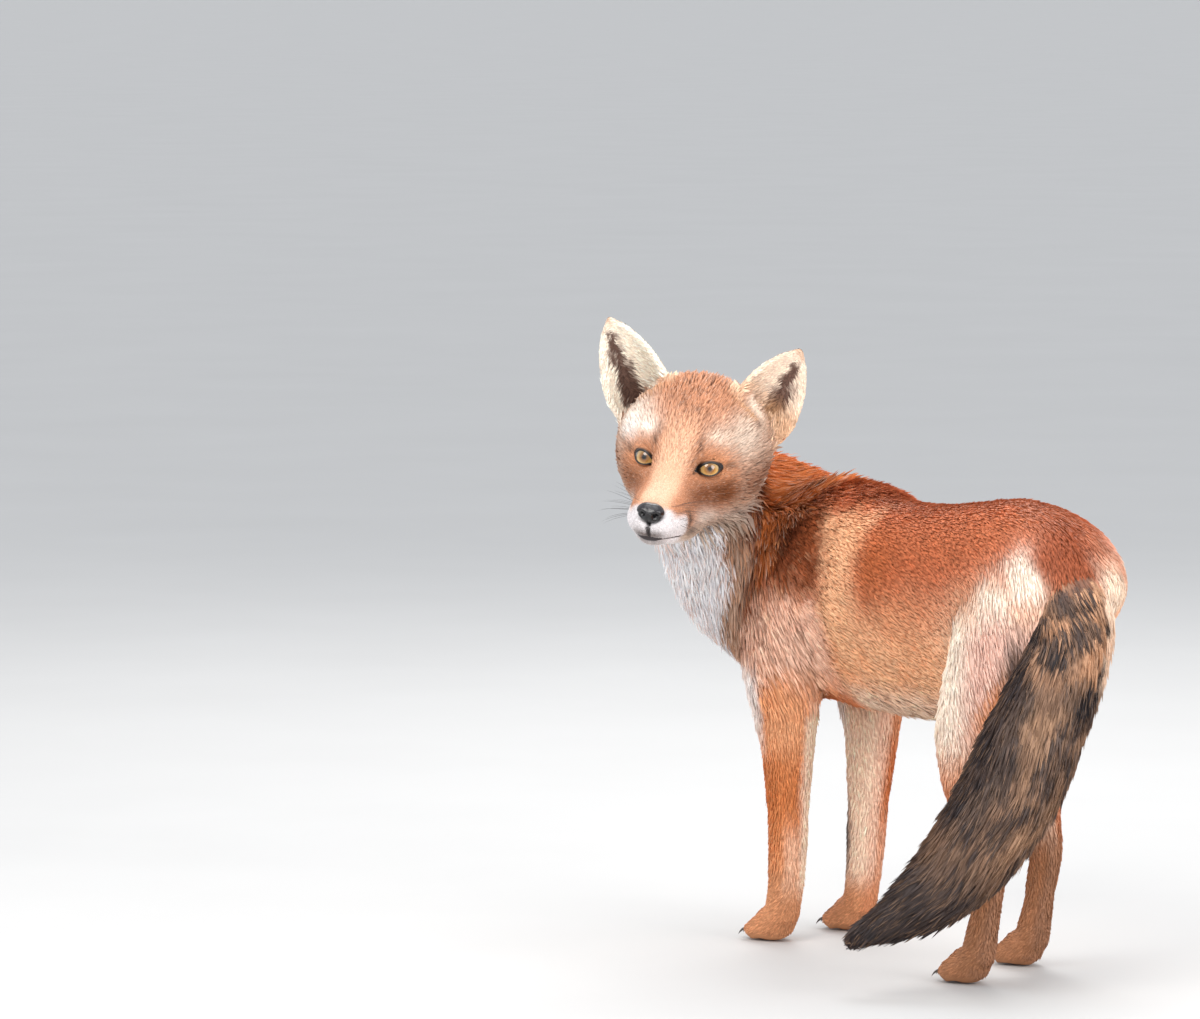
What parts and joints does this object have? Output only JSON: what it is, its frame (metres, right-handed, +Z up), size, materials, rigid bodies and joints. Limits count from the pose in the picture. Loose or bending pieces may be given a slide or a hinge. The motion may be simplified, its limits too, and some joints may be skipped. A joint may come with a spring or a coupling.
{
  "type": "red fox figure",
  "caption": "Life-size red fox in short summer coat, standing with its head turned back over the left shoulder.",
  "frame": {"origin": "middle of the bottom of the bounding box, on the floor that the paws stand on", "axes": "+Z up; the trunk faces -Y and its left side is +X; the tail hangs at +Y and swings to +X"},
  "size_m": [0.3096, 0.5182, 0.5277],
  "materials": {
    "head": "rusty orange coat, paler on brows and cheeks",
    "muzzle": "short cream and rust coat",
    "lower_jaw": "short white coat",
    "nose": "moist black skin",
    "ear_left": "cream inside, black behind",
    "ear_right": "cream inside, black behind",
    "eye_left": "amber, wet",
    "eye_right": "amber, wet",
    "neck": "dark rust coat, white throat",
    "chest": "rust coat, white breast",
    "loin": "orange-red coat, pale belly",
    "rump": "red coat with cream hips",
    "fore_left_shoulder": "short orange coat",
    "fore_left_forearm": "short orange coat",
    "fore_left_paw": "short orange coat",
    "fore_right_shoulder": "short orange coat",
    "fore_right_forearm": "short orange coat",
    "fore_right_paw": "short orange coat",
    "hind_left_thigh": "short orange and cream coat",
    "hind_left_shank": "short orange and cream coat",
    "hind_left_shin": "short orange and cream coat",
    "hind_left_paw": "short orange and cream coat",
    "hind_right_thigh": "short orange and cream coat",
    "hind_right_shank": "short orange and cream coat",
    "hind_right_shin": "short orange and cream coat",
    "hind_right_paw": "short orange and cream coat",
    "tail_base": "long black-brown coat",
    "tail_middle": "long black-brown coat",
    "tail_end": "long black-brown coat",
    "tail_tip": "long black-brown coat"
  },
  "bodies": {
    "root": {"head": "head", "muzzle": "muzzle", "lower_jaw": "lower_jaw", "nose": "nose", "ear_left": "ear_left", "ear_right": "ear_right", "eye_left": "eye_left", "eye_right": "eye_right", "neck": "neck", "chest": "chest", "loin": "loin", "rump": "rump", "fore_left_shoulder": "fore_left_shoulder", "fore_left_forearm": "fore_left_forearm", "fore_left_paw": "fore_left_paw", "fore_right_shoulder": "fore_right_shoulder", "fore_right_forearm": "fore_right_forearm", "fore_right_paw": "fore_right_paw", "hind_left_thigh": "hind_left_thigh", "hind_left_shank": "hind_left_shank", "hind_left_shin": "hind_left_shin", "hind_left_paw": "hind_left_paw", "hind_right_thigh": "hind_right_thigh", "hind_right_shank": "hind_right_shank", "hind_right_shin": "hind_right_shin", "hind_right_paw": "hind_right_paw", "tail_base": "tail_base", "tail_middle": "tail_middle", "tail_end": "tail_end", "tail_tip": "tail_tip"}
  },
  "joints": []
}
